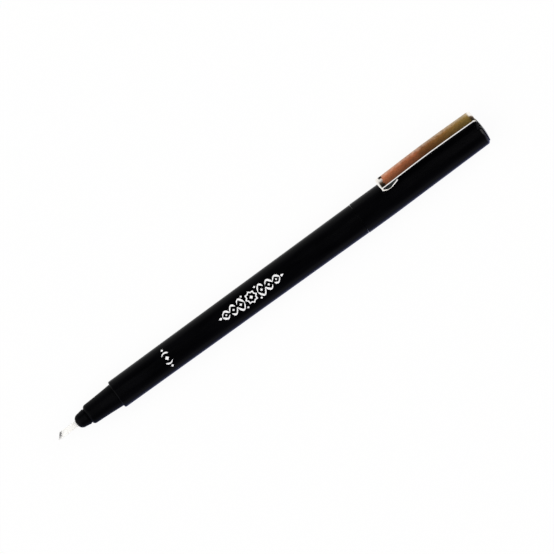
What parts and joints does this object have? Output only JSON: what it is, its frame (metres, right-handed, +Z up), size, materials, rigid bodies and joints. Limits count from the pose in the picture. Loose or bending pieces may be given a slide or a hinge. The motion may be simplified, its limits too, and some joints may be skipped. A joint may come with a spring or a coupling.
{
  "type": "calligraphy pen",
  "caption": "Slim fibre-tip calligraphy pen, uncapped: slanted nib, round nose, flared grip, long tapered barrel, and its cap with a folded metal clip pushed on the tail.",
  "frame": {"origin": "middle of the pen's bounding box at the surface it lies on", "axes": "+X along the pen from the nib to the cap, +Z up, +Y towards the side that the clip is on"},
  "size_m": [0.1502, 0.0116, 0.0125],
  "materials": {
    "black_gloss": "gloss",
    "black_satin": "satin",
    "nib_fibre": "matte",
    "ink_fibre": "matte",
    "clear_film": "gloss",
    "gold_metal": "polished",
    "white_print": "satin"
  },
  "bodies": {
    "pen": {"barrel_tube": "black_gloss", "section": "black_satin", "nib_holder": "black_satin", "nib": "nib_fibre", "reservoir_film": "clear_film", "reservoir_core": "ink_fibre", "tail_plug": "black_satin"},
    "cap_seal": {"cap_liner": "black_satin"},
    "cap": {"cap_shell": "black_gloss", "cap_crown": "black_gloss"},
    "clip": {"clip": "gold_metal"}
  },
  "joints": [
    {"name": "cap_pull", "type": "slide", "parent": "pen", "child": "cap_seal", "axis": [1, 0, 0], "range_m": [0, 0.03]},
    {"name": "cap_turn", "type": "hinge", "parent": "cap_seal", "child": "cap", "pos_m": [0.05, -0.00089, 0.00492], "axis": [1, 0, 0], "continuous": true},
    {"name": "clip_flex", "type": "hinge", "parent": "cap", "child": "clip", "pos_m": [0.07393, 0.00066, 0.00683], "axis": [0, 0.7771, -0.6293], "range_deg": [0, 5], "stiffness_Nm_per_rad": 0.3, "springref_deg": -2.86}
  ]
}
